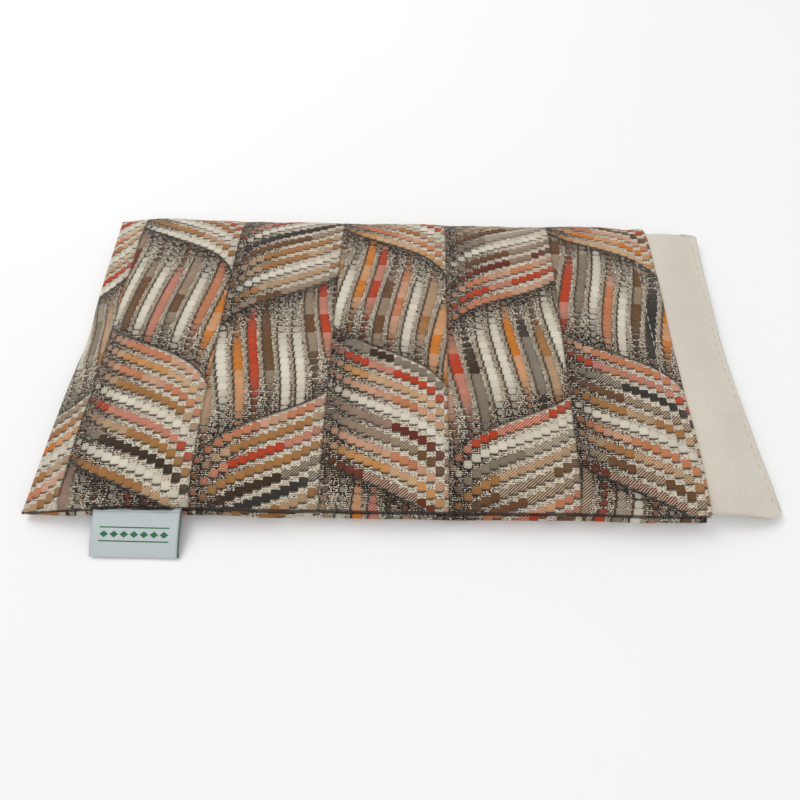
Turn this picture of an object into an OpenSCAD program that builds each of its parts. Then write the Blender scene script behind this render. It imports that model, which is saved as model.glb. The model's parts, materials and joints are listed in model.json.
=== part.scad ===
// Eye pillow: a seed-filled calico pillow that slides in and out of an open-ended woven cover.
// The cover lies along X with its mouth at +X. The origin is the middle of the cover's footprint
// on the surface that it rests on, with +Z up.

/* [Cover] */
// Length of the cover, from its closed end to its mouth
cover_length = 235; // [180:1:290]
// Width of the cover, from side seam to side seam
cover_width = 135; // [100:1:170]
// Height of the filled cover
cover_height = 14; // [12:0.5:22]
// Thickness of one layer of the cover's cloth
cover_cloth = 0.7; // [0.5:0.05:0.9]
// Height of the side seams above the surface
side_seam_height = 6; // [5:0.5:8]
// Height of the closed end's seam above the surface
end_seam_height = 2.6; // [2.2:0.1:4]
// Length over which the closed end flattens towards its seam
end_taper = 28; // [20:1:40]
// Depth of the hem that is turned in at the mouth
hem_depth = 15; // [8:1:25]
// Distance from the mouth to the hem's stitching
hem_stitch_inset = 7; // [4:0.5:12]

/* [Inner pillow] */
// How much shorter the inner pillow is than the cover
pillow_shorter = 5; // [0:1:20]
// Length of the inner pillow that stands out of the mouth at rest
pillow_out = 25; // [10:1:60]
// Gap between the inner pillow and the cover, above and below
pillow_gap = 0.4; // [0.3:0.05:0.6]
// Gap between the inner pillow's side seams and the cover
side_gap = 1; // [0.7:0.1:3]
// Thickness of the calico
pillow_cloth = 0.5; // [0.3:0.05:0.7]
// How far the middle of each end pulls in
end_waist = 4; // [1:0.5:8]
// How far the middle of each side pulls in
side_waist = 1.5; // [0.5:0.5:4]
// Distance from the filling end's edge to its closing stitches
closing_stitch_inset = 3; // [2:0.5:6]

/* [Filling] */
// Gap between the seeds and the calico
fill_gap = 0.25; // [0.15:0.05:0.5]

/* [Label] */
// Width of the folded label along the front seam
label_width = 30; // [15:1:45]
// Length of the folded label outside the seam
label_drop = 15.5; // [12:0.5:30]
// Distance from the closed end to the label
label_offset = 26; // [15:1:120]
// Thickness of the label's ribbon
ribbon_cloth = 0.35; // [0.25:0.05:0.4]

/* [Thread] */
// Diameter of the sewing thread
thread_diameter = 0.4; // [0.3:0.05:0.6]
// Length of one visible stitch
stitch_length = 2.8; // [2:0.1:3.5]
// Distance from one stitch to the next
stitch_pitch = 4; // [3.8:0.1:6]

/* [Hidden] */

ROWS_ROUND = 3;       // rows over the small round edge at an end
ROWS_TAPER = 6;       // rows over an end's taper
COLUMNS = 28;         // columns from side seam to side seam
EDGE_ROUND = 2.5;     // length of the round edge at a seamed end
BASE_ROUND = 6;       // width of the round corner from the flat base to a side seam
BASE_POWER = 3;       // how square that corner is: 2 is a quarter ellipse
CROWN_POWER = 4;      // how flat the crown is across the width: 2 is an ellipse
TAPER_POWER = 1.3;    // how late an end fills out along its taper: 1 is a sine curve
SEAM_SPLIT = 0.02;    // half of the gap between the two panels' edges at a seam
LABEL_CLEARANCE = 0.9; // distance from the seam to the label's living hinge
FOLD_GAP = 0.15;      // gap between the label's two leaves
TAIL_GAP = 0.1;       // gap between the label's tail and its flap
TAIL_COVER = 0.1;     // cloth left between the label's tail and the inside of the cover
TIP_GAP = 0.1;        // height of the label's free end above the surface
SEAM_EDGE = 3;        // height of the cover's seamed end above its seam
PILLOW_EDGE = 1.3;    // height of the inner pillow's seamed end above its seam
PILLOW_END_DROP = 1.5; // height of the inner pillow's end seams above its base

hem_cloth = 2 * cover_cloth;
cover_x0 = -cover_length / 2;
mouth_x = cover_length / 2;
half_width = cover_width / 2;

pillow_length = cover_length - pillow_shorter;
pillow_x0 = mouth_x + pillow_out - pillow_length;
pillow_half_width = half_width - hem_cloth - side_gap;
pillow_base = hem_cloth + pillow_gap;
pillow_top = cover_height - hem_cloth - pillow_gap;

label_x = cover_x0 + label_offset + label_width / 2;
label_hinge_y = -half_width - LABEL_CLEARANCE;
label_thickness = 2 * ribbon_cloth + FOLD_GAP;
label_tail = LABEL_CLEARANCE + hem_cloth - TAIL_COVER - TAIL_GAP - label_thickness / 2;
label_slope = asin((side_seam_height - label_thickness / 2 - TIP_GAP) / label_drop);

// ---- Shape rules -------------------------------------------------------------------------

// How full the pillow is at a distance from a seamed end: 0 at the seam, 1 past the taper
function fullness(d) = pow(sin(90 * min(max(d, 0) / end_taper, 1)), TAPER_POWER);

// The small round edge at a seamed end: 0 at the seam, 1 past it
function edge_round(d) = sqrt(1 - pow(1 - min(max(d, 0) / EDGE_ROUND, 1), 2));

// Height of a panel above or below its seam: edge at a seamed end, full past the taper. The
// round edge starts at a distance of its own, which is later on the inside of a thick seam.
function lift(d, round_d, edge, full) = edge * edge_round(round_d) + (full - edge) * fullness(d);

// Share of the crown's height across the width, with u from -1 to 1
function crown(u) = sqrt(max(0, 1 - pow(abs(u), CROWN_POWER)));

// Share of the base's depth across a half width: flat, then a round corner up to the seam
function base_curve(u, half) =
    let (flat = 1 - BASE_ROUND / half, t = max(0, (abs(u) - flat) / (1 - flat)))
    pow(max(0, 1 - pow(t, BASE_POWER)), 1 / BASE_POWER);

function blend(a, b, share) = a + (b - a) * share;

// Distances from a seamed end at which a panel has a row: its round edge, then its taper
END_ROWS = concat(
    [for (i = [0 : ROWS_ROUND]) EDGE_ROUND * (1 - cos(90 * i / ROWS_ROUND))],
    [for (i = [1 : ROWS_TAPER]) blend(EDGE_ROUND, end_taper, i / ROWS_TAPER)]
);

// ---- The cover's surfaces ----------------------------------------------------------------

HEM_STEP = 0.4; // length over which one layer becomes two at the hem's raw edge

cover_rows = concat(END_ROWS, [
    cover_length / 2,
    cover_length - hem_depth - HEM_STEP,
    cover_length - hem_depth,
    cover_length
]);

// Cloth layers at a distance from the closed end, where the hem and the allowance lie double
function cover_layers(d) = d > cover_length - hem_depth - HEM_STEP / 2 ? hem_cloth : cover_cloth;

function cover_seam_z(d) = blend(end_seam_height, side_seam_height, fullness(d));

// A point of the cover's top or bottom (side 1 or -1), outside or inside the cloth
function cover_point(d, v, side, inside) =
    let (
        skin = inside ? cover_layers(d) : 0,
        wall = inside ? hem_cloth : 0,
        at = d + wall * max(0, 1 - d / end_taper),
        half = half_width - wall,
        u = sin(90 * v),
        seam = cover_seam_z(d),
        up = lift(at, at - wall, SEAM_EDGE - wall, cover_height - side_seam_height - skin)
            * crown(u),
        down = lift(at, at - wall, end_seam_height - wall, side_seam_height - skin)
            * base_curve(u, half)
    )
    [
        cover_x0 + at,
        half * u,
        side > 0 ? seam + SEAM_SPLIT + up : seam - SEAM_SPLIT - max(0, down - SEAM_SPLIT)
    ];

// ---- The inner pillow's surfaces ---------------------------------------------------------

pillow_rows = concat(
    END_ROWS,
    [pillow_length / 2],
    [for (i = [len(END_ROWS) - 1 : -1 : 0]) pillow_length - END_ROWS[i]]
);

function pillow_seam_z(d) =
    blend(pillow_base + PILLOW_END_DROP, side_seam_height, fullness(min(d, pillow_length - d)));

// A point of the inner pillow's top or bottom, moved in from its outside by the given inset
function pillow_point(d, v, side, inset) =
    let (
        near = min(d, pillow_length - d),
        half = pillow_half_width - side_waist * sin(180 * d / pillow_length) - inset,
        u = sin(90 * v),
        pull = end_waist * (1 - u * u) + inset,
        seam = pillow_seam_z(d),
        up = lift(near, near, PILLOW_EDGE - inset, pillow_top - side_seam_height - inset)
            * crown(u),
        down = lift(near, near, PILLOW_END_DROP - inset, side_seam_height - pillow_base - inset)
            * base_curve(u, half)
    )
    [
        pillow_x0 + d + pull * (1 - 2 * d / pillow_length),
        half * u,
        seam + side * (SEAM_SPLIT + (side > 0 ? up : max(0, down - SEAM_SPLIT)))
    ];

// ---- Solids made from two grids of points ------------------------------------------------

// Faces of a grid of rows by columns, numbered from start
function grid_faces(rows, columns, start, flip) = [
    for (r = [0 : rows - 2], c = [0 : columns - 2])
        let (a = start + r * columns + c, quad = [a, a + 1, a + columns + 1, a + columns])
        each (flip ?
            [[quad[0], quad[2], quad[1]], [quad[0], quad[3], quad[2]]] :
            [[quad[0], quad[1], quad[2]], [quad[0], quad[2], quad[3]]])
];

// Numbers of a grid's border points, in order round it
function grid_border(rows, columns, start) = concat(
    [for (c = [0 : columns - 2]) start + c],
    [for (r = [0 : rows - 2]) start + r * columns + columns - 1],
    [for (c = [columns - 1 : -1 : 1]) start + (rows - 1) * columns + c],
    [for (r = [rows - 1 : -1 : 1]) start + r * columns]
);

// A closed skin between two grids that share their layout, the upper one first
module skin_between(upper, lower, rows, columns) {
    count = rows * columns;
    top = grid_border(rows, columns, 0);
    low = grid_border(rows, columns, count);
    n = len(top);
    polyhedron(
        points = concat(upper, lower),
        faces = concat(
            grid_faces(rows, columns, 0, false),
            grid_faces(rows, columns, count, true),
            [for (i = [0 : n - 1]) each [
                [top[(i + 1) % n], top[i], low[i]],
                [top[(i + 1) % n], low[i], low[(i + 1) % n]]
            ]]
        )
    );
}

columns_v = [for (c = [0 : COLUMNS]) 2 * c / COLUMNS - 1];

module cover_panel(side) {
    outside = [for (d = cover_rows, v = columns_v) cover_point(d, v, side, false)];
    inside = [for (d = cover_rows, v = columns_v) cover_point(d, v, side, true)];
    skin_between(
        side > 0 ? outside : inside,
        side > 0 ? inside : outside,
        len(cover_rows), len(columns_v)
    );
}

module pillow_panel(side) {
    outside = [for (d = pillow_rows, v = columns_v) pillow_point(d, v, side, 0)];
    inside = [for (d = pillow_rows, v = columns_v) pillow_point(d, v, side, pillow_cloth)];
    skin_between(
        side > 0 ? outside : inside,
        side > 0 ? inside : outside,
        len(pillow_rows), len(columns_v)
    );
}

// ---- Threads -----------------------------------------------------------------------------

// A round thread from one point to another
module thread(from, to) {
    run = to - from;
    flat = norm([run[0], run[1]]);
    translate(from)
        rotate([0, atan2(flat, run[2]), atan2(run[1], run[0])])
            cylinder(d = thread_diameter, h = norm(run), $fn = 16);
}

// A stitch that goes down through both panels' edges at a seam point
module seam_stitch(point, length) {
    translate([point[0], point[1], point[2] - length / 2])
        cylinder(d = thread_diameter, h = length, $fn = 16);
}

function stitch_places(length) =
    let (count = floor((length - stitch_pitch) / stitch_pitch), spare = length - count * stitch_pitch)
    [for (i = [0 : count]) spare / 2 + i * stitch_pitch];

// Runs of stitches across the width, on a surface that at(y) gives
module hem_stitches(side) {
    d = cover_length - hem_stitch_inset;
    reach = half_width - BASE_ROUND;
    for (s = stitch_places(2 * reach)) {
        y0 = s - reach - stitch_length / 2;
        ends = [for (y = [y0, y0 + stitch_length]) cover_point(d, asin(y / half_width) / 90, side, false)];
        sink = [0, 0, side * thread_diameter / 2];
        thread(ends[0] - sink, ends[1] - sink);
    }
}

// ---- Parts -------------------------------------------------------------------------------

module cover_top_panel() {
    color("sienna") cover_panel(1);
}

module cover_bottom_panel() {
    color("sienna") cover_panel(-1);
}

module cover_seam_thread() {
    edge = half_width - cover_cloth;
    color("dimgray") {
        for (d = stitch_places(cover_length), side = [-1, 1])
            seam_stitch([cover_x0 + d, side * edge, cover_seam_z(d)], 2 * cover_cloth);
        for (s = stitch_places(2 * edge))
            seam_stitch([cover_x0 + cover_cloth, s - edge, cover_seam_z(0)], 2 * cover_cloth);
    }
}

module cover_hem_thread() {
    color("silver")
        for (side = [-1, 1])
            hem_stitches(side);
}

// The ribbon's two ends, caught between the panels through the depth of the front seam
module label_sewn_tail() {
    color("gainsboro")
        for (leaf = [-1, 1])
            translate([
                label_x - label_width / 2,
                label_hinge_y + label_thickness / 2 + TAIL_GAP,
                side_seam_height + leaf * (FOLD_GAP + ribbon_cloth) / 2 - ribbon_cloth / 2
            ])
                cube([label_width, label_tail, ribbon_cloth]);
}

// The folded loop outside the seam: two leaves joined by the fold at the free end
module label_ribbon() {
    color("gainsboro")
        translate([label_x - label_width / 2, label_hinge_y, side_seam_height])
            rotate([label_slope, 0, 0])
                rotate([90, 0, 90])
                    linear_extrude(label_width)
                        difference() {
                            label_outline(label_thickness / 2);
                            label_outline(FOLD_GAP / 2);
                        }
}

// A long slot shape from the hinge to the fold, with round ends, in the label's own side view
module label_outline(radius) {
    length = label_drop - label_thickness / 2;
    union() {
        circle(r = radius, $fn = 24);
        translate([-length, 0]) circle(r = radius, $fn = 24);
        translate([-length, -radius]) square([length, 2 * radius]);
    }
}

module pillow_top_panel() {
    color("linen") pillow_panel(1);
}

module pillow_bottom_panel() {
    color("linen") pillow_panel(-1);
}

module pillow_seam_thread() {
    color("ivory") {
        for (d = stitch_places(pillow_length - 2 * end_waist), side = [-1, 1])
            let (at = pillow_point(end_waist + d, side, 1, pillow_cloth / 2))
            seam_stitch([at[0], at[1], pillow_seam_z(end_waist + d)], 2 * pillow_cloth);
        for (s = stitch_places(2 * (pillow_half_width - end_waist)))
            let (
                v = asin((s - pillow_half_width + end_waist) / pillow_half_width) / 90,
                at = pillow_point(0, v, 1, pillow_cloth / 2)
            )
            seam_stitch([at[0], at[1], pillow_seam_z(0)], 2 * pillow_cloth);
    }
}

// Edge stitches over the end that was closed after filling
module pillow_closing_thread() {
    d = pillow_length - closing_stitch_inset;
    reach = pillow_half_width - BASE_ROUND;
    color("ivory")
        for (s = stitch_places(2 * reach)) {
            y0 = s - reach - stitch_length / 2;
            ends = [
                for (y = [y0, y0 + stitch_length])
                    pillow_point(d, asin(y / pillow_half_width) / 90, 1, 0)
            ];
            sink = [0, 0, thread_diameter / 2];
            thread(ends[0] - sink, ends[1] - sink);
        }
}

// The whole mass of seeds as one soft body
module flaxseed_filling() {
    inset = pillow_cloth + fill_gap;
    upper = [for (d = pillow_rows, v = columns_v) pillow_point(d, v, 1, inset)];
    lower = [for (d = pillow_rows, v = columns_v) pillow_point(d, v, -1, inset)];
    color("saddlebrown") skin_between(upper, lower, len(pillow_rows), len(columns_v));
}

cover_top_panel();
cover_bottom_panel();
cover_seam_thread();
cover_hem_thread();
label_sewn_tail();
label_ribbon();
pillow_top_panel();
pillow_bottom_panel();
pillow_seam_thread();
pillow_closing_thread();
flaxseed_filling();
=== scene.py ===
"""Eye pillow: a patterned slip cover with a seed-filled cotton pillow inside it.

The packed CAD model is the frame. The operators below dress it with cloth, thread, ribbon and
seeds. Sizes in the settings are in metres. The surfaces are worked out in millimetres.
"""

import json
import math

import bpy
import numpy as np
from mathutils import Matrix, Vector


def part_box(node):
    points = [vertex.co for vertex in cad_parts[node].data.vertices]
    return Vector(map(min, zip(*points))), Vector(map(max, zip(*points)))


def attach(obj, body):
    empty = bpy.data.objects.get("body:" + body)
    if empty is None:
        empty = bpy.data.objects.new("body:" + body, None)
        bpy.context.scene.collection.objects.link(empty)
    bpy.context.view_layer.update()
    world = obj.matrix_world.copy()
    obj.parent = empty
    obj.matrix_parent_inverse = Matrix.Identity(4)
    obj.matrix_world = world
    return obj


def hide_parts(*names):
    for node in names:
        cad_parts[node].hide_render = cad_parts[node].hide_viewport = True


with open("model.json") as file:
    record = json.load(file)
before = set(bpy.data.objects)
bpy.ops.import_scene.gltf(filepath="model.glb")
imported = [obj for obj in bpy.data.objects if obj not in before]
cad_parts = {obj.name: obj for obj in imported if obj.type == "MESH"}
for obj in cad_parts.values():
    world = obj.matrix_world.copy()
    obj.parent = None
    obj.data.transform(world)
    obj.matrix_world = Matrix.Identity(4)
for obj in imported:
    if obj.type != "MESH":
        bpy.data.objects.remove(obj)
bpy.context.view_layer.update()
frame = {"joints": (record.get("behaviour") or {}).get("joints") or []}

bl_info = {
    "name": "Eye Pillow",
    "version": (1, 0, 0),
    "blender": (4, 5, 0),
    "location": "3D View > Sidebar > Eye Pillow",
    "description": "Dresses an eye pillow's frame with woven cloth, thread, ribbon and seeds",
    "category": "Object",
}

MM = 0.001
FABRIC_MAP = "Fabric"

# ---- The frame's sizes, in millimetres -----------------------------------------------------

def frame_box(node):
    """The two far corners of a CAD node's box."""
    return [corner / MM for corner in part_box(node)]


top_box = frame_box("cover_top_panel")
pillow_box = frame_box("pillow_top_panel")
ribbon_box = frame_box("label_ribbon")
hem_box = frame_box("cover_hem_thread")
hinge = next(joint for joint in frame["joints"] if joint["name"] == "label_flap")

COVER_START = top_box[0].x
COVER_LENGTH = top_box[1].x - top_box[0].x
COVER_HALF = top_box[1].y
SEAM_Z = frame_box("cover_bottom_panel")[1].z
END_SEAM_Z = top_box[0].z
PILLOW_START = pillow_box[0].x
PILLOW_LENGTH = pillow_box[1].x - pillow_box[0].x
PILLOW_HALF = pillow_box[1].y
PILLOW_BASE = frame_box("pillow_bottom_panel")[0].z
PILLOW_END_SEAM_Z = pillow_box[0].z
HINGE = Vector(hinge["pos_m"]) / MM
RIBBON_WIDTH = ribbon_box[1].x - ribbon_box[0].x
LABEL_MIDDLE = HINGE.x - COVER_START
HEM_STITCH_X = (hem_box[0].x + hem_box[1].x) / 2


# ---- Colours -------------------------------------------------------------------------------

def linear(red, green, blue):
    """A colour given as three screen values from 0 to 255, as Blender's linear colour."""
    shares = [value / 255 for value in (red, green, blue)]
    light = [s / 12.92 if s <= 0.04045 else ((s + 0.055) / 1.055) ** 2.4 for s in shares]
    return (*light, 1.0)


YARNS = {
    "m": linear(104, 38, 16),    # maroon
    "r": linear(186, 58, 12),    # red-orange
    "o": linear(206, 120, 24),   # orange
    "s": linear(196, 122, 82),   # salmon
    "p": linear(198, 140, 80),   # peach
    "t": linear(164, 112, 58),   # tan
    "b": linear(106, 70, 36),    # brown
    "d": linear(56, 38, 20),     # dark brown
    "k": linear(48, 46, 42),     # charcoal
    "w": linear(220, 212, 194),  # off-white
    "g": linear(132, 120, 100),  # grey
}

# Yarn colours of each pattern column, in three leaves: the slanting leaf above, the upright
# leaf, and the slanting leaf below. A leaf has ten places, from its left or its top.
LEAF_PLACES = 10
COLUMN_YARNS = [
    ("wtrwstwtrw", "ggwbwgwgto", "btowtstwob"),
    ("twstprtwtw", "mwbwrbwsoo", "spstwrtdwt"),
    ("grwkbttwtb", "tworbwwbrm", "strtdkttwo"),
    ("rtwbtrwtsp", "tworbswtoo", "drpswmbspm"),
    ("gtbgwbmsrs", "srdwwoktwg", "rwgtbbsrbt"),
    ("stwbtrbsop", "brgwswbkoo", "srkbtwstbm"),
]


# ---- Settings ------------------------------------------------------------------------------

def number(name, description, default, **options):
    """A plain setting."""
    return bpy.props.FloatProperty(
        name=name, description=description, default=default, **options
    )


def length(name, description, default):
    """A setting in metres."""
    return number(name, description, default, min=0, unit="LENGTH", precision=5)


def angle(name, description, degrees):
    """A setting for an angle."""
    return number(name, description, math.radians(degrees), subtype="ANGLE")


def colour(name, description, default):
    """A colour setting."""
    return bpy.props.FloatVectorProperty(
        name=name, description=description, default=default[:3], min=0, max=1,
        size=3, subtype="COLOR"
    )


def factor(name, description, default):
    """A setting from 0 to 1."""
    return number(name, description, default, min=0, max=1, subtype="FACTOR")


class CoverSettings(bpy.types.PropertyGroup):
    """Sizes of the slip cover's cloth."""

    cloth: length("Cloth", "Thickness of the woven cloth", 0.0007)
    crown: length("Crown", "Height of the stuffed middle", 0.0134)
    mouth_crown: length("Mouth Crown", "Height of the open end", 0.0122)
    end_taper: length("End Taper", "Length over which the seamed end rises", 0.028)
    seam_roll: length("Seam Roll", "Radius of the cloth where it turns into a seam", 0.001)
    hem: length("Hem", "Depth of the turned hem at the mouth", 0.015)
    end_waist: length("End Waist", "How far the seamed end is pulled in", 0.0018)
    mouth_waist: length("Mouth Waist", "How far the mouth is pulled in", 0.0015)
    stitch: length("Stitch", "Length of one stitch", 0.0028)
    pitch: length("Stitch Pitch", "Distance from one stitch to the next", 0.004)
    thread: length("Thread", "Diameter of the sewing thread", 0.0004)
    grid: length("Grid", "Distance between the cloth's points", 0.0013)


class PillowSettings(bpy.types.PropertyGroup):
    """Sizes of the inner pillow."""

    cloth: length("Cloth", "Thickness of the cotton", 0.0005)
    crown: length("Crown", "Height of the stuffed middle", 0.0105)
    end_taper: length("End Taper", "Length over which a sewn end rises", 0.022)
    end_waist: length("End Waist", "How far a sewn end is pulled in", 0.0035)
    flange: length("Flange", "Width of the flat edge that closes the end", 0.003)
    grid: length("Grid", "Distance between the cloth's points", 0.0013)
    seeds: length("Seed", "Length of one seed", 0.0045)


class WeaveSettings(bpy.types.PropertyGroup):
    """Sizes of the woven pattern."""

    column: length("Column", "Width of one column of leaves", 0.0441)
    first: length("First Column", "Distance of the first whole column from the end", 0.018)
    start: length("Start", "Distance of the first leaves behind the front seam", 0.1421)
    leaf: length("Leaf", "Length of one leaf down its column", 0.0543)
    rise: length("Rise", "Height of the slant across a column", 0.027)
    sway: length("Sway", "How far an upright stripe leans from top to bottom", 0.007)
    stripe: length("Stripe", "Width of an upright stripe", 0.00535)
    row: length("Row", "Width of a slanting row", 0.0055)
    relief: length("Relief", "Height of the raised yarns", 0.0005)
    dark: colour("Dark Yarn", "Dark yarn of the ground", linear(24, 19, 14))
    light: colour("Light Yarn", "Light yarn of the ground", linear(212, 201, 180))
    beige: colour("Beige Yarn", "Plain beige yarn between the stripes", linear(152, 133, 108))
    sheen: factor("Sheen", "Soft light along the edges of the cloth", 0.06)


class LabelSettings(bpy.types.PropertyGroup):
    """Sizes and colours of the folded ribbon."""

    ribbon: length("Ribbon", "Thickness of the ribbon", 0.00035)
    gap: length("Gap", "Gap between the two leaves", 0.00015)
    drop: length("Drop", "Length from the seam to the fold", 0.0155)
    shift: length("Shift", "Sideways offset of the back leaf", 0.0005)
    face: colour("Face", "Colour of the satin", linear(196, 205, 207))
    green: colour("Green", "Colour of the border and the diamonds", linear(22, 104, 58))
    diamonds: bpy.props.IntProperty(
        name="Diamonds", description="Number of woven diamonds", default=7, min=1
    )


class StageSettings(bpy.types.PropertyGroup):
    """Floor, light and camera."""

    floor: length("Floor", "Side of the square floor", 6.0)
    key: number("Key Light", "Power of the large soft light", 6.0, min=0)
    sky: number("Sky", "Strength of the even white light all round", 0.62, min=0)
    lens: number("Lens", "Focal length of the camera, in millimetres", 26.1, min=1)
    azimuth: angle("Azimuth", "How far the camera stands round to the right", 2.27)
    elevation: angle("Elevation", "How far above the floor the camera stands", 61.36)
    roll: angle("Roll", "Turn of the camera about its own axis", -0.93)
    distance: length("Distance", "Distance from the camera to what it looks at", 0.2254)
    target: bpy.props.FloatVectorProperty(
        name="Target", description="Point that the camera looks at",
        default=(0.01231, -0.0196, 0.0), subtype="TRANSLATION", unit="LENGTH"
    )


# ---- Curves and grids ----------------------------------------------------------------------

def ease(value):
    """0 at and below 0, 1 at and above 1, with a soft start and end."""
    share = np.clip(value, 0, 1)
    return share * share * (3 - 2 * share)


def between(value, low, high):
    """0 at and below low, 1 at and above high, with a soft start and end."""
    return ease((value - low) / (high - low))


def blend(low, high, share):
    """The value that lies a share of the way from low to high."""
    return low + (high - low) * share


def fullness(distance, taper):
    """0 at a sewn end, 1 past its taper."""
    return np.sin(np.pi / 2 * np.clip(distance / taper, 0, 1)) ** 1.3


def round_edge(distance, radius):
    """Quarter circle that rises from 0 at a sewn end to 1 at its radius."""
    return np.sqrt(1 - (1 - np.clip(distance / radius, 0, 1)) ** 2)


def crown(across):
    """Share of the crown's height across the width, from -1 to 1."""
    return np.sqrt(np.clip(1 - np.abs(across) ** 4, 0, 1))


def drawn_in(across):
    """How far an end is drawn in, from 1 at its middle to 0 at its corners."""
    return 1 - across ** 2


def base_curve(across, half, corner):
    """Share of the base's depth across the width: flat, then a round corner up to the seam."""
    flat = 1 - corner / half
    turn = np.clip((np.abs(across) - flat) / (1 - flat), 0, 1)
    return (1 - turn ** 3) ** (1 / 3)


def lumps(along, across, size, seed):
    """Soft uneven waves of height -1 to 1, about size apart, that never repeat exactly."""
    waves = 0
    for turn in range(4):
        heading = seed + 2.4 * turn
        step = size * (0.8 + 0.23 * turn)
        run = along * math.cos(heading) + across * math.sin(heading)
        waves = waves + np.sin(2 * np.pi * run / step + 1.7 * seed * (turn + 1))
    return waves / 4


def spaced(reach, pitch):
    """Evenly spaced values from 0 to reach, about a pitch apart."""
    return np.linspace(0, reach, int(round(reach / pitch)) + 1)


def normals_of(points):
    """Unit normals of a grid of points, rows along +X and columns along +Y."""
    along = np.gradient(points, axis=0)
    across = np.gradient(points, axis=1)
    normal = np.cross(along, across)
    size = np.linalg.norm(normal, axis=2, keepdims=True)
    return normal / np.maximum(size, 1e-9)


def resample(field, rows, columns):
    """A coarse grid's values, at fractional rows and columns, with a smooth cubic spline."""
    def weights(places, count):
        base = np.floor(places).astype(int)
        share = places - base
        table = np.zeros((len(places), count))
        parts = (
            (1 - share) ** 3 / 6,
            (3 * share ** 3 - 6 * share ** 2 + 4) / 6,
            (-3 * share ** 3 + 3 * share ** 2 + 3 * share + 1) / 6,
            share ** 3 / 6,
        )
        for step, part in enumerate(parts):
            index = np.clip(base - 1 + step, 0, count - 1)
            np.add.at(table, (np.arange(len(places)), index), part)
        return table

    down = weights(rows, field.shape[0])
    over = weights(columns, field.shape[1])
    return np.einsum("ri,cj,ijk->rck", down, over, field)


RELAX_FRAMES = 20
RELAX_STEP = 3  # fine rows and columns to one of the panel that is relaxed


def relaxed(points, pressure, most, growth):
    """How far each point of a sewn panel moves as the stuffing presses it from inside.

    The panel's border is held by its seams. Gravity is off, and no point moves past most.
    """
    rows, columns = points.shape[:2]
    mesh = bpy.data.meshes.new("panel")
    faces = grid_faces(rows, columns)
    mesh.from_pydata([tuple(point * MM) for point in points.reshape(-1, 3)], [], faces)
    panel = bpy.data.objects.new("panel", mesh)
    bpy.context.scene.collection.objects.link(panel)
    held = panel.vertex_groups.new(name="sewn")
    numbers = np.arange(rows * columns).reshape(rows, columns)
    inner = set(numbers[1:-1, 1:-1].ravel().tolist())
    held.add([n for n in numbers.ravel().tolist() if n not in inner], 1.0, "REPLACE")
    cloth = panel.modifiers.new("Cloth", "CLOTH")
    cloth.settings.quality = 5
    cloth.settings.mass = 0.3
    cloth.settings.tension_stiffness = 20
    cloth.settings.compression_stiffness = 20
    cloth.settings.shear_stiffness = 8
    cloth.settings.bending_stiffness = 1.5
    cloth.settings.vertex_group_mass = held.name
    cloth.settings.use_pressure = True
    cloth.settings.uniform_pressure_force = pressure
    cloth.settings.shrink_min = -growth
    cloth.settings.effector_weights.gravity = 0
    cloth.collision_settings.use_collision = False
    cloth.point_cache.frame_start = 1
    cloth.point_cache.frame_end = RELAX_FRAMES
    for number in range(1, RELAX_FRAMES + 1):
        bpy.context.scene.frame_set(number)
    settled = panel.evaluated_get(bpy.context.evaluated_depsgraph_get())
    found = np.zeros(rows * columns * 3)
    settled.data.vertices.foreach_get("co", found)
    bpy.context.scene.frame_set(1)
    bpy.data.objects.remove(panel)
    bpy.data.meshes.remove(mesh)
    move = found.reshape(rows, columns, 3) / MM - points
    size = np.linalg.norm(move, axis=2, keepdims=True)
    return move * np.minimum(1, most / np.maximum(size, 1e-9))


def settle(points, pressure, most, growth):
    """The fine grid of a panel, moved as a coarser copy of it settles under the stuffing."""
    rows, columns = points.shape[:2]
    keep_rows = np.unique(np.append(np.arange(0, rows, RELAX_STEP), rows - 1))
    keep_columns = np.unique(np.append(np.arange(0, columns, RELAX_STEP), columns - 1))
    coarse = points[np.ix_(keep_rows, keep_columns)]
    move = relaxed(coarse, pressure, most, growth)
    row_places = np.interp(np.arange(rows), keep_rows, np.arange(len(keep_rows)))
    column_places = np.interp(np.arange(columns), keep_columns, np.arange(len(keep_columns)))
    return points + resample(move, row_places, column_places)


# ---- Meshes --------------------------------------------------------------------------------

def grid_faces(rows, columns, start=0, flip=False):
    """Four-sided faces of a grid of points that is numbered row by row from start."""
    faces = []
    for row in range(rows - 1):
        for column in range(columns - 1):
            first = start + row * columns + column
            face = (first, first + columns, first + columns + 1, first + 1)
            faces.append(face[::-1] if flip else face)
    return faces


def grid_border(rows, columns):
    """Numbers of a grid's border points, in order round it."""
    return (
        [column for column in range(columns - 1)]
        + [row * columns + columns - 1 for row in range(rows - 1)]
        + [(rows - 1) * columns + column for column in range(columns - 1, 0, -1)]
        + [row * columns for row in range(rows - 1, 0, -1)]
    )


def shell_faces(rows, columns, start=0, flip=False):
    """Faces of a closed sheet: an outer grid of points, its inner copy and the rim between."""
    count = rows * columns
    faces = grid_faces(rows, columns, start, flip)
    faces += grid_faces(rows, columns, start + count, not flip)
    rim = grid_border(rows, columns)
    for here, after in zip(rim, rim[1:] + rim[:1]):
        face = tuple(start + point for point in (here, after, after + count, here + count))
        faces.append(face[::-1] if flip else face)
    return faces


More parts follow.
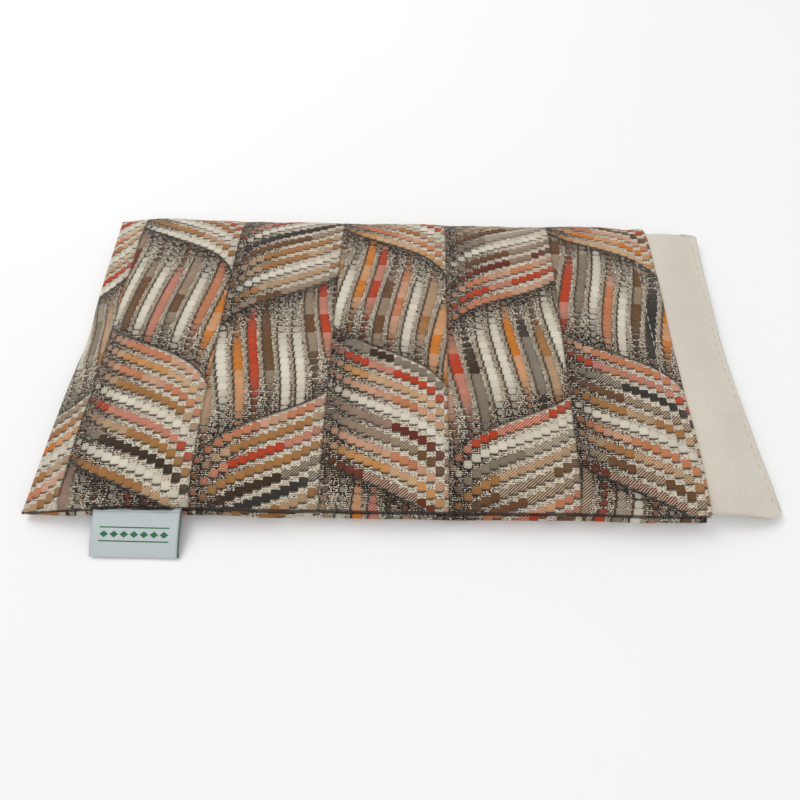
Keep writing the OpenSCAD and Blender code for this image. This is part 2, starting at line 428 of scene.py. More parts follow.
def piece(name, points, faces, material, flat=None):
    """A smooth mesh object from points in millimetres, with its place on the flat cloth."""
    mesh = bpy.data.meshes.new(name)
    mesh.from_pydata((np.asarray(points, float) * MM).tolist(), [], faces)
    if flat is not None:
        layer = mesh.uv_layers.new(name=FABRIC_MAP)
        corners = np.zeros(len(mesh.loops), int)
        mesh.loops.foreach_get("vertex_index", corners)
        layer.data.foreach_set("uv", (np.asarray(flat, float)[corners] * MM).ravel())
    mesh.polygons.foreach_set("use_smooth", [True] * len(mesh.polygons))
    mesh.materials.append(material)
    mesh.update()
    made = bpy.data.objects.new(name, mesh)
    bpy.context.scene.collection.objects.link(made)
    return made


def cloth_shell(name, outside, thickness, flat, material, up):
    """A closed sheet of cloth: the outside grid and its copy set inward by the thickness."""
    inside = outside - up * thickness * normals_of(outside)
    faces = shell_faces(*outside.shape[:2], flip=up < 0)
    points = np.concatenate([outside.reshape(-1, 3), inside.reshape(-1, 3)])
    return piece(name, points, faces, material, np.concatenate([flat.reshape(-1, 2)] * 2))


THREAD_SIDES = 8
THREAD_TIP = 0.6     # radius of a thread's blunt tip, to one of the thread


def tube(path, radius):
    """Points and faces of one thread along a path, closed to a blunt tip at both ends."""
    sides = THREAD_SIDES
    path = np.asarray(path, float)
    points = []
    faces = []
    run = np.gradient(path, axis=0)
    run /= np.linalg.norm(run, axis=1, keepdims=True)
    side = np.cross(run, (0, 0, 1))
    weak = np.linalg.norm(side, axis=1) < 0.1
    side[weak] = np.cross(run[weak], (0, 1, 0))
    side /= np.linalg.norm(side, axis=1, keepdims=True)
    upward = np.cross(side, run)
    angles = np.arange(sides) * 2 * np.pi / sides
    last = len(path) - 1
    for ring in range(last + 1):
        size = radius * (THREAD_TIP if ring in (0, last) else 1)
        for angle in angles:
            around = side[ring] * math.cos(angle) + upward[ring] * math.sin(angle)
            points.append(path[ring] + size * around)
    for ring in range(last):
        for corner in range(sides):
            after = (corner + 1) % sides
            low = ring * sides
            faces.append((low + corner, low + after, low + sides + after, low + sides + corner))
    faces.append(tuple(range(sides))[::-1])
    faces.append(tuple(last * sides + corner for corner in range(sides)))
    return points, faces


def threads(name, paths, radius, material):
    """One object made of many separate stitches."""
    points = []
    faces = []
    for path in paths:
        more_points, more_faces = tube(path, radius)
        start = len(points)
        faces += [tuple(start + corner for corner in face) for face in more_faces]
        points += more_points
    return piece(name, points, faces, material)


TOP_PROUD = 0.6     # how far a stitch stands out of the cloth, to one of its radius
BOTTOM_PROUD = 0.2  # the same on the underside, where it is pressed flat
SURFACE_DIP = 1.2   # how far its ends go in


def stitch_places(reach, pitch):
    """Middles of a row of stitches, even about the middle of a seam of that length."""
    count = int((reach - pitch) // pitch)
    spare = reach - count * pitch
    return [spare / 2 + pitch * number for number in range(count + 1)]


def arched(start, end, rise, dip):
    """A stitch from start to end that lies proud by rise and dips into the cloth at its ends."""
    shares = np.linspace(0, 1, 7)
    line = np.outer(1 - shares, start) + np.outer(shares, end)
    arch = np.sin(np.pi * shares) ** 0.5
    return line + np.outer(blend(-dip, rise, arch), (0, 0, 1))


def sunk_stitch(cover, middle, heading):
    """A stitch of the cover's thread that lies along a heading and is drawn in at its ends."""
    half = np.array(heading) * cover.stitch / MM / 2
    return arched(np.array(middle) - half, np.array(middle) + half, 0, cover.thread / MM / 2)


def on_cloth(cloth, x, y, from_above=True):
    """Where a vertical line meets the outside of a cloth piece."""
    start = Vector((x, y, 100 if from_above else -100)) * MM
    heading = Vector((0, 0, -1 if from_above else 1))
    hit, place, _, _ = cloth.ray_cast(start, heading)
    if not hit:
        raise RuntimeError(f"no cloth of {cloth.name} at {x:.1f}, {y:.1f} mm")
    return np.array(place) / MM


def surface_stitch(cover, cloth, x, y, side=1):
    """A stitch along +Y over the top (side 1) or the bottom (side -1) of a cloth."""
    half = cover.stitch / MM / 2
    radius = cover.thread / MM / 2
    start = on_cloth(cloth, x, y - half, side > 0)
    end = on_cloth(cloth, x, y + half, side > 0)
    proud = TOP_PROUD if side > 0 else BOTTOM_PROUD
    return arched(start, end, side * proud * radius, side * SURFACE_DIP * radius)


# ---- Shader arithmetic ---------------------------------------------------------------------

class Field:
    """A value that varies over a surface. FIELD_METHODS lists its plain operators."""

    def __init__(self, tree, socket):
        self.tree = tree
        self.socket = socket

    def math(self, operation, *others):
        node = self.tree.nodes.new("ShaderNodeMath")
        node.operation = operation
        for place, value in enumerate((self, *others)):
            put(self.tree, node.inputs[place], value)
        return Field(self.tree, node.outputs[0])

    def __neg__(self):
        return self * -1

    def __rsub__(self, other):
        return self * -1 + other

    def clamp(self):
        return self.most(0).least(1)

    def soft(self, low, high):
        """0 at low, 1 at high, with a soft start and end."""
        node = self.tree.nodes.new("ShaderNodeMapRange")
        node.interpolation_type = "SMOOTHSTEP"
        put(self.tree, node.inputs["Value"], self)
        node.inputs["From Min"].default_value = low
        node.inputs["From Max"].default_value = high
        return Field(self.tree, node.outputs["Result"])

    def toward(self, other, share):
        """This value, moved a share of the way to another."""
        return self + (other - self) * share


def math_method(operation):
    """A method of Field that adds one Math node."""
    def method(self, *others):
        return self.math(operation, *others)
    return method


FIELD_METHODS = {
    "__add__": "ADD",
    "__radd__": "ADD",
    "__sub__": "SUBTRACT",
    "__mul__": "MULTIPLY",
    "__truediv__": "DIVIDE",
    "floor": "FLOOR",
    "fract": "FRACT",
    "abs": "ABSOLUTE",
    "sin": "SINE",
    "power": "POWER",
    "least": "MINIMUM",
    "most": "MAXIMUM",
    "above": "GREATER_THAN",
    "below": "LESS_THAN",
    "wrap": "FLOORED_MODULO",
}
for method_name, operation in FIELD_METHODS.items():
    setattr(Field, method_name, math_method(operation))


def put(tree, socket, value):
    """Links a field to a socket, or sets a plain value on it."""
    if isinstance(value, Field):
        tree.links.new(value.socket, socket)
    else:
        socket.default_value = value


def mixed(tree, share, low, high, mode="MIX"):
    """Two colours mixed by a share."""
    node = tree.nodes.new("ShaderNodeMix")
    node.data_type = "RGBA"
    node.blend_type = mode
    node.clamp_factor = True
    put(tree, node.inputs[0], share)
    put(tree, node.inputs[6], low)
    put(tree, node.inputs[7], high)
    return Field(tree, node.outputs[2])


def combined(tree, x, y, z=0.0):
    """A vector from three values."""
    node = tree.nodes.new("ShaderNodeCombineXYZ")
    for socket, value in zip(node.inputs, (x, y, z)):
        put(tree, socket, value)
    return Field(tree, node.outputs[0])


def chance(tree, x, y, salt=0.0):
    """A random value from 0 to 1 for each whole-numbered pair."""
    node = tree.nodes.new("ShaderNodeTexWhiteNoise")
    node.noise_dimensions = "3D"
    put(tree, node.inputs["Vector"], combined(tree, x, y, salt))
    return Field(tree, node.outputs["Value"])


def cloudy(tree, place, scale):
    """Smooth noise from 0 to 1 over a vector."""
    node = tree.nodes.new("ShaderNodeTexNoise")
    put(tree, node.inputs["Vector"], place)
    node.inputs["Scale"].default_value = scale
    node.inputs["Detail"].default_value = 3.0
    node.inputs["Roughness"].default_value = 0.55
    return Field(tree, node.outputs["Fac"])


def cells(tree, place, scale):
    """How far the middle of the nearest cell is, and the cell's three random values."""
    node = tree.nodes.new("ShaderNodeTexVoronoi")
    node.inputs["Scale"].default_value = scale
    put(tree, node.inputs["Vector"], place)
    return Field(tree, node.outputs["Distance"]), split(tree, Field(tree, node.outputs["Color"]))


def stepped(tree, value, colours):
    """A colour from a list, by a value that runs from 0 to the length of the list."""
    node = tree.nodes.new("ShaderNodeValToRGB")
    node.color_ramp.interpolation = "CONSTANT"
    elements = node.color_ramp.elements
    while len(elements) > 1:
        elements.remove(elements[-1])
    elements[0].position = 0
    elements[0].color = colours[0]
    for place, shade in enumerate(colours[1:], 1):
        element = elements.new(place / len(colours))
        element.color = shade
    put(tree, node.inputs["Fac"], value / len(colours))
    return Field(tree, node.outputs["Color"])


def group_tree(name, inputs, outputs):
    """A new shader group: the tree, a dictionary of its inputs, and its output node."""
    tree = bpy.data.node_groups.new(name, "ShaderNodeTree")
    for label, kind, default in inputs:
        socket = tree.interface.new_socket(label, in_out="INPUT", socket_type=kind)
        if default is not None:
            socket.default_value = default
    for label, kind in outputs:
        tree.interface.new_socket(label, in_out="OUTPUT", socket_type=kind)
    entry = tree.nodes.new("NodeGroupInput")
    given = {socket.name: Field(tree, socket) for socket in entry.outputs if socket.name}
    return tree, given, tree.nodes.new("NodeGroupOutput")


def split(tree, vector):
    """The three parts of a vector."""
    node = tree.nodes.new("ShaderNodeSeparateXYZ")
    put(tree, node.inputs[0], vector)
    return [Field(tree, socket) for socket in node.outputs]


def placed(tree, group, **values):
    """A group in a material, with its inputs set or linked. Returns its outputs by name."""
    node = tree.nodes.new("ShaderNodeGroup")
    node.node_tree = group
    for label, value in values.items():
        put(tree, node.inputs[label], value)
    return {socket.name: Field(tree, socket) for socket in node.outputs}


def surface(name):
    """A new material with a Principled shader. Returns the material, its tree and the shader."""
    material = bpy.data.materials.new(name)
    material.use_nodes = True
    tree = material.node_tree
    shader = next(node for node in tree.nodes if node.type == "BSDF_PRINCIPLED")
    return material, tree, shader


def bumped(tree, shader, height, distance):
    """Feeds a height to the shader's normal."""
    node = tree.nodes.new("ShaderNodeBump")
    node.inputs["Distance"].default_value = distance
    node.inputs["Strength"].default_value = 1.0
    put(tree, node.inputs["Height"], height)
    tree.links.new(node.outputs["Normal"], shader.inputs["Normal"])


def in_millimetres(tree, socket):
    """A vector in metres as a field in millimetres."""
    scale = tree.nodes.new("ShaderNodeVectorMath")
    scale.operation = "SCALE"
    scale.inputs["Scale"].default_value = 1 / MM
    tree.links.new(socket, scale.inputs[0])
    return Field(tree, scale.outputs["Vector"])


def fabric_place(tree):
    """The place on the flat cloth, in millimetres."""
    node = tree.nodes.new("ShaderNodeUVMap")
    node.uv_map = FABRIC_MAP
    return in_millimetres(tree, node.outputs["UV"])


def object_place(tree):
    """The place in the object, in millimetres."""
    node = tree.nodes.new("ShaderNodeTexCoord")
    return in_millimetres(tree, node.outputs["Object"])


# ---- Shared shader groups ------------------------------------------------------------------

def plain_weave_group():
    """Threads of a plain weave: a height and a mask of the thread crossings' shade."""
    tree, given, out = group_tree(
        "plain_weave",
        [("Place", "NodeSocketVector", None), ("Thread", "NodeSocketFloat", 0.4)],
        [("Height", "NodeSocketFloat"), ("Shade", "NodeSocketFloat")],
    )
    x, y, _ = split(tree, given["Place"])
    warp = x / given["Thread"]
    weft = y / given["Thread"]
    over = (warp.floor() + weft.floor()).wrap(2)
    hump_x = ((warp.fract() - 0.5) * math.pi).math("COSINE")
    hump_y = ((weft.fract() - 0.5) * math.pi).math("COSINE")
    height = hump_x.toward(hump_y, over)
    uneven = chance(tree, warp.floor(), weft.floor())
    slub = chance(tree, weft.floor(), 0.0, 3.0)
    put(tree, out.inputs["Height"], height)
    put(tree, out.inputs["Shade"], height * 0.5 + uneven * 0.3 + slub * 0.2)
    return tree


# The leaf pattern's proportions. Lengths are in millimetres.
UPRIGHT_BEAD = 2.9    # from bead to bead up a stripe
SLANTED_BEAD = 3.1    # from bead to bead along a row
LEAF_OFFSET = 12.5    # how far down a falling column's leaves start
RISING_OFFSET = 28.5  # how much further down a rising column's leaves start
DROOP = 7             # how late a leaf's edge droops at its low side, as a power
HOOK = 9              # how late it turns at both sides of its column, as a power
BEAD_CORNER = 3.2     # how square a bead is: 2 is an ellipse
CAST_DOWN = 0.42      # where a bead's painted cast shadow, a dark outline, lies below it
CAST_LEFT = 0.5       # and to its left
CAST_SIZE = 1.45      # size of the painted shadow, to one of the bead
GRAIN_WIDE = 0.33     # width of one speck of the ground
GRAIN_HIGH = 0.3      # its height
FLECK_WIDE = 0.5      # width of one coloured fleck
FLECK_HIGH = 0.42     # its height
WEFT_PITCH = 0.72     # from line to line in the ground
FINE_PITCH = 0.7      # from line to line in the raised yarns
HATCH_PITCH = 1.05    # from line to line where two yarns cross
TWILL_PITCH = 0.9     # from rib to rib of the raised yarns
RUN = 3               # beads in a run of one look
UNDER = 7             # how far the shade reaches where a leaf goes under the next
FOLD_START = 2.8      # where the painted shade in the fold along the front seam starts to fade
FOLD_END = 3.4        # and where it ends
FLECK_YARN = linear(170, 108, 66)
HATCH_YARN = linear(214, 200, 174)
# Painted cast shadow of each bead: a dark outline below it and to its left
BEAD_SHADOW = linear(44, 34, 26)
LEAF_EDGE = linear(44, 38, 32)
FOLD_SHADE = linear(26, 20, 16)


def jacquard_group(weave):
    """The leaf pattern of raised yarns on a speckled ground: its colour, height and gloss."""
    column_w = weave.column / MM
    leaf_l = weave.leaf / MM
    stripe_w = weave.stripe / MM
    row_w = weave.row / MM
    sway_w = weave.sway / MM
    tree, given, out = group_tree(
        "leaf_jacquard",
        [("Place", "NodeSocketVector", None)],
        [
            ("Color", "NodeSocketColor"),
            ("Height", "NodeSocketFloat"),
            ("Gloss", "NodeSocketFloat"),
        ],
    )
    u, from_seam, _ = split(tree, given["Place"])
    v = from_seam + weave.start / MM

    # Columns and leaves. A leaf's edge slopes down from its column's high side, and is
    # steeper at both ends.
    across = (u - weave.first / MM) / column_w
    column = across.floor()
    s = across.fract()
    rising = column.wrap(2)

    def leaf_offset(share):
        """How far down its leaves start, at a share of the column's width."""
        fall = share.toward(1 - share, rising)
        hook = (fall.power(HOOK) - (1 - fall).power(HOOK) + 1) * 0.5
        slope = fall * 0.6 + fall.power(DROOP) * 0.2 + hook * 0.2
        return slope * (weave.rise / MM) + (rising * RISING_OFFSET + LEAF_OFFSET)

    place = (v - leaf_offset(s)) / leaf_l
    leaf = place.floor()
    f = place.fract()
    slanted = leaf.wrap(2)

    # Upright stripes that sway, and slanting rows that step down bead by bead
    bead_v = ((v / UPRIGHT_BEAD).floor() + 0.5) * UPRIGHT_BEAD
    bead_f = ((bead_v - leaf_offset(s)) / leaf_l - leaf).clamp()
    sway = bead_f.soft(0, 1) - 0.5
    lean = sway.toward(-sway, rising) * sway_w
    stripe = (s * column_w + lean + sway_w / 2) / stripe_w
    bead_u = ((u / SLANTED_BEAD).floor() + 0.5) * SLANTED_BEAD
    bead_s = ((bead_u - weave.first / MM) / column_w - column).most(0.03).least(0.97)
    row = ((v - leaf_offset(bead_s)) / leaf_l - leaf) * (leaf_l / row_w)
    line = stripe.toward(row, slanted)
    number = line.floor().most(0).least(LEAF_PLACES - 1)
    t = line.fract() - 0.5
    along = (v / UPRIGHT_BEAD).toward(u / SLANTED_BEAD, slanted)
    a = along.fract() - 0.5

    # How full the yarn is: at its fullest inside the leaf, thin and dark where the leaf ends
    wander = (chance(tree, number, column, 5.0) - 0.5) * 0.36
    middle = (f + wander).clamp()
    full_upright = (middle * (1 - middle) * 4).power(1.2)
    full_slanted = s.soft(-0.2, 0.4) * (1 - s.soft(0.8, 1.0) * 0.4)
    full = full_upright.toward(full_slanted, slanted)
    half_across = full.soft(0, 0.8) * 0.15 + 0.15 - slanted * 0.02
    half_along = full.soft(0.3, 0.9) * 0.33 + 0.33

    def bead(shift_along, shift_across):
        """Below 1 inside a bead whose middle is shifted by shares of its pitch."""
        one = ((a + shift_along) / half_along).abs().power(BEAD_CORNER)
        two = ((t + shift_across) / half_across).abs().power(BEAD_CORNER)
        return one + two

    shape = bead(0, 0)
    mask = shape.below(1)
    dome = (1 - shape).clamp().power(0.5) * mask
    # Painted cast shadow of each bead: its shape shifted down and to the left, grown, and kept
    # outside the bead
    down = CAST_DOWN / UPRIGHT_BEAD
    left = CAST_LEFT / stripe_w
    cast = bead(
        slanted * (CAST_LEFT / SLANTED_BEAD + down) - down,
        slanted * (-CAST_DOWN / row_w - left) + left,
    )
    bead_shadow = cast.below(CAST_SIZE) * (1 - mask)

    # The speckled ground, darker where one leaf goes under the next
    end_distance = f.least(1 - f) * leaf_l
    shade_upright = (f * (1 - f) * 4).soft(0, 0.9) * 0.34 + 0.18
    shade_slanted = s.soft(0, 0.7) * 0.64 + 0.14
    light_share = shade_upright.toward(shade_slanted, slanted)
    under = (f * leaf_l).soft(0, UNDER) * 0.7 + 0.3
    light_share = light_share * under.toward(1, slanted)
    grain = chance(tree, (u / GRAIN_WIDE).floor(), (v / GRAIN_HIGH).floor())
    weft = (v * (2 * math.pi / WEFT_PITCH)).sin() * 0.2
    ground = mixed(
        tree,
        ((light_share + weft - grain) * 3 + 0.5).clamp(),
        (*weave.dark, 1.0),
        (*weave.light, 1.0),
    )
    fleck = chance(tree, (u / FLECK_WIDE).floor(), (v / FLECK_HIGH).floor(), 4.0).above(0.92)
    ground = mixed(tree, fleck * 0.5, ground, FLECK_YARN)
    strip = (t.abs() - 0.4).soft(0, 0.06) * full.soft(0.3, 0.8) * (1 - slanted)
    ground = mixed(tree, strip * 0.75, ground, (*weave.beige, 1.0))

    # Colours of the raised yarns
    slot = ((leaf + 1).wrap(4)).toward(1, 1 - slanted)
    index = slot * LEAF_PLACES + number + 0.5
    strips = [
        stepped(tree, index, [YARNS[letter] for letter in "".join(leaves)])
        for leaves in COLUMN_YARNS
    ]
    yarn = strips[0]
    for turn, strip_yarn in enumerate(strips[1:]):
        here = (column.wrap(len(strips)) - turn).abs().below(0.5)
        yarn = mixed(tree, here, yarn, strip_yarn)

    fine_lines = (v * (2 * math.pi / FINE_PITCH)).sin() * 0.5 + 0.5
    bead_luck = chance(tree, along.floor(), number, 9.0)
    run_luck = chance(tree, (along / RUN).floor(), number, column + 2)
    slant_lines = ((u * 0.9 + v) / HATCH_PITCH).fract().above(0.55)
    hatch = slant_lines * run_luck.above(0.5)
    yarn = mixed(tree, hatch * 0.7, yarn, HATCH_YARN)
    yarn = mixed(tree, (1 - full) * 0.35, yarn, ground)
    twill = ((u - v * 1.3) / TWILL_PITCH).fract().above(0.5)
    # Painted shade where each bead's dome rounds off toward its edge
    rim = (1 - dome) * 0.22
    lit = full.soft(0, 0.95) * 0.48 + 0.4 + fine_lines * 0.12 - twill * 0.2 + bead_luck * 0.16
    lit = lit - rim
    yarn = mixed(tree, 1.0, yarn, combined(tree, lit, lit, lit), "MULTIPLY")

    # Dark lines where leaves meet, and between the columns
    meet = 1 - end_distance.soft(0.2, 0.9)
    side = 1 - (s.least(1 - s) * column_w).soft(0.15, 0.7)
    edge = meet.most(side * 0.6)
    # Painted cast shadow of each bead on the ground
    ground = mixed(tree, bead_shadow * 0.85, ground, BEAD_SHADOW)
    body = mixed(tree, mask * (1 - meet), ground, yarn)
    body = mixed(tree, edge * 0.7, body, LEAF_EDGE)
    # Painted shade in the fold where the cloth turns into the front seam
    fold = 1 - from_seam.abs().soft(FOLD_START, FOLD_END)
    put(tree, out.inputs["Color"], mixed(tree, fold * 0.85, body, FOLD_SHADE))
    relief = dome * mask * 0.8 + grain * 0.1 + fine_lines * 0.06 - bead_shadow * 0.1
    put(tree, out.inputs["Height"], relief * (1 - edge * 0.6))
    put(tree, out.inputs["Gloss"], mask * dome)
    return tree


# ---- Materials -----------------------------------------------------------------------------

def pattern_material(weave):
    """Coarse jacquard cloth with a leaf pattern."""
    material, tree, shader = surface("leaf_cloth")
    pattern = placed(tree, jacquard_group(weave), Place=fabric_place(tree))
    put(tree, shader.inputs["Base Color"], pattern["Color"])
    put(tree, shader.inputs["Roughness"], pattern["Gloss"] * -0.2 + 0.88)
    shader.inputs["Specular IOR Level"].default_value = 0.25
    shader.inputs["Sheen Weight"].default_value = weave.sheen
    shader.inputs["Sheen Roughness"].default_value = 0.6
    bumped(tree, shader, pattern["Height"], weave.relief)
    return material


def calico_material():
    """Unbleached cotton with a fine weave and small dark flecks."""
    material, tree, shader = surface("cotton_cloth")
    place = fabric_place(tree)
    weave = placed(tree, bpy.data.node_groups["plain_weave"], Place=place, Thread=0.42)
    streaks = cloudy(tree, combined(tree, *[
        part * size for part, size in zip(split(tree, place), (0.12, 1.6))
    ]), 1.0)
    tone = cloudy(tree, place, 0.05)
    base = mixed(tree, tone, linear(230, 222, 208), linear(240, 232, 218))
    base = mixed(tree, (1 - weave["Shade"]) * 0.2, base, linear(196, 187, 170))
    base = mixed(tree, streaks.soft(0.5, 0.8) * 0.3, base, linear(208, 199, 183))
    near, (luck, size_luck, _) = cells(tree, place, 0.22)
    fleck = near.below(size_luck * 0.05 + 0.015) * luck.above(0.5)
    base = mixed(tree, fleck * 0.7, base, linear(126, 98, 70))
    put(tree, shader.inputs["Base Color"], base)
    put(tree, shader.inputs["Roughness"], weave["Shade"] * 0.1 + 0.86)
    shader.inputs["Specular IOR Level"].default_value = 0.2
    shader.inputs["Sheen Weight"].default_value = 0.15
    shader.inputs["Sheen Roughness"].default_value = 0.5
    bumped(tree, shader, weave["Height"], 0.00012)
    return material


def thread_material(name, light, dark):
    """Twisted sewing thread."""
    material, tree, shader = surface(name)
    x, y, z = split(tree, object_place(tree))
    ply = ((x + y) * 11 + z * 14).sin() * 0.5 + 0.5
    put(tree, shader.inputs["Base Color"], mixed(tree, ply, dark, light))
    put(tree, shader.inputs["Roughness"], ply * 0.12 + 0.6)
    shader.inputs["Sheen Weight"].default_value = 0.2
    bumped(tree, shader, ply, 0.00006)
    return material


def ribbon_material(label):
    """Satin ribbon with a woven row of diamonds between two lines, and a green back."""
    material, tree, shader = surface("satin_cloth")
    across, down, _ = split(tree, fabric_place(tree))
    face = (*label.face, 1.0)
    green = (*label.green, 1.0)
    middle = label.drop / MM * 0.5
    room = RIBBON_WIDTH * 0.8 / label.diamonds
    start = RIBBON_WIDTH * 0.1
    step = ((across - start) / room).fract() - 0.5
    inside = across.above(start) * across.below(RIBBON_WIDTH - start)
    diamond = (step.abs() * (room / 1.5) + (down - middle).abs() / 1.15).below(1) * inside
    lines = ((down - middle).abs() - 2.3).abs().below(0.22) * inside
    back = down.above(label.drop / MM + 0.5)
    weft = (down * (2 * math.pi / 0.3)).sin() * 0.5 + 0.5
    float_luck = chance(tree, (across / 0.22).floor(), (down / 0.9).floor())
    base = mixed(tree, float_luck * 0.16, face, linear(168, 180, 184))
    base = mixed(tree, weft * 0.12, base, linear(158, 170, 174))
    base = mixed(tree, diamond.most(lines), base, green)
    base = mixed(tree, back * 0.85, base, linear(30, 74, 52))
    put(tree, shader.inputs["Base Color"], base)
    put(tree, shader.inputs["Roughness"], float_luck * 0.1 + 0.42)
    shader.inputs["Sheen Weight"].default_value = 0.15
    bumped(tree, shader, weft + diamond * 0.8, 0.00004)
    return material


SEED_SLIMNESS = 1.9  # length of a seed to its width


def seed_material(seeds):
    """A mass of smooth brown seeds."""
    material, tree, shader = surface("brown_seeds")
    x, y, z = split(tree, object_place(tree))
    size = seeds / MM
    spot = combined(tree, x / size, y / size * SEED_SLIMNESS, z / size * SEED_SLIMNESS)
    near, (luck, _, _) = cells(tree, spot, 1.0)
    hull = mixed(tree, luck, linear(92, 50, 26), linear(148, 92, 48))
    # Painted shade in the gaps between the seeds: each seed darkens toward its edge
    color = mixed(tree, near.soft(0.3, 0.7), hull, linear(40, 22, 12))
    put(tree, shader.inputs["Base Color"], color)
    put(tree, shader.inputs["Roughness"], near * 0.3 + 0.25)
    bumped(tree, shader, 1 - near, 0.0008)
    return material


def material_named(name):
    """A material that the first operator made."""
    return bpy.data.materials[name]


# ---- Surfaces of the cover -----------------------------------------------------------------

END_EDGE = 1.6              # height of the cover's round edge at its seamed end, above the seam
EDGE_RADIUS = 2.5           # length of that round edge
BASE_CORNER = 5.0           # radius of the lower corner along the sides
BACK_SEAM_Z = 4.3           # height of the seam along the back
END_FLARE = 1.3             # how far the corners of the seamed end stand out at each side
MOUTH_DRAW = 1.0            # how far the stuffing draws the mouth in at each side
SIDE_BULGE = 0.9            # how far the bottom panel swells out past the seam
LABEL_SLOPE = 2.0           # how steeply the top rises behind the label, to leave its flap room
LABEL_ROOM = 0.6            # how far in from the label's hinge that slope starts
LABEL_REACH = 19            # how far it runs along the seam to each side of the label
SWELL_DEPTH = 4.0           # height below the seam over which the bottom panel swells out
TUCK_DEPTH = 1.2            # height below the seam over which its edge is tucked in
CREASE = 0.9                # how far the bottom panel's edge is tucked in under the top panel's
ROLL_STEPS = 4              # rows or columns of cloth that turn into a seam
SEAM_GAP = 0.12             # half the gap between the two panels at their seam
ALLOWANCE = 1.0             # cloth that lies flat inside the seam past the turn
STITCH_DEPTH = 1.8          # how deep the seam's thread lies behind the cloth's edge
PUCKER_PITCH = 4.3          # distance between the small gathers along a seam
PUCKER = 0.16               # height of the cover's gathers
PUCKER_REACH = 2.5          # how far they reach in from the seam
PILLOW_PUCKER = 0.1         # height of the inner pillow's gathers
END_ROW = 0.5               # distance between the rows over a round end
SIDE_COLUMNS = 24           # columns that make up for the wider ones in the middle
FLOOR_GAP = 0.02            # least height above the floor
STUFFING = (0.35, 38, 1.3)  # height, size and seed of the lumps under the cover's top
LOW_FRONT = (60, 110)       # where along the front the seam comes down
LOW_FRONT_END = (150, 220)  # where it goes up again
LOW_FRONT_DROP = 0.9        # how far it comes down
MOUTH_FROM = 150            # where the crown starts to settle toward the mouth
MOUTH_RUN = 85              # length over which it settles
HEM_TURNS = 6               # steps round the hem's turn
HEM_BEND = 1.08             # radius of that turn, to one thickness of cloth
HEM_GROOVE = 0.28           # depth of the groove that the hem's stitches press


def seam_target(distance, across):
    """Height of the seam past the end's taper: lower at the back, and midway along the front."""
    down = between(distance, *LOW_FRONT) * (1 - between(distance, *LOW_FRONT_END))
    front = SEAM_Z - LOW_FRONT_DROP * down
    return blend(front, BACK_SEAM_Z, (1 + across) / 2)


def seam_height(distance, across, taper):
    """Height of the cover's seam above the floor, with across from -1, the front, to 1."""
    return blend(END_SEAM_Z, seam_target(distance, across), fullness(distance, taper))


def cover_half_width(distance, side):
    """Half the cover's width: full at the flat end, less where the stuffing rounds the cloth."""
    wide = END_FLARE * (1 - ease(distance / 55)) - MOUTH_DRAW * ease((distance - 60) / 170)
    wave = lumps(distance, 0 * distance, 46, 2.2) * 0.25
    bulge = lumps(distance, 0 * distance, 21, 5.1) * 0.3 if side < 0 else 0
    loose = ease(distance / 30) * (1 - np.exp(-((distance - LABEL_MIDDLE) / 22) ** 4))
    return COVER_HALF + wide + (wave + bulge) * loose


def roll_values():
    """Shares of the turn into a seam, and how far the cloth has run in past it."""
    turn = [(step + 1) / ROLL_STEPS for step in range(ROLL_STEPS)]
    return turn + [1.0], [0.0] * ROLL_STEPS + [ALLOWANCE]


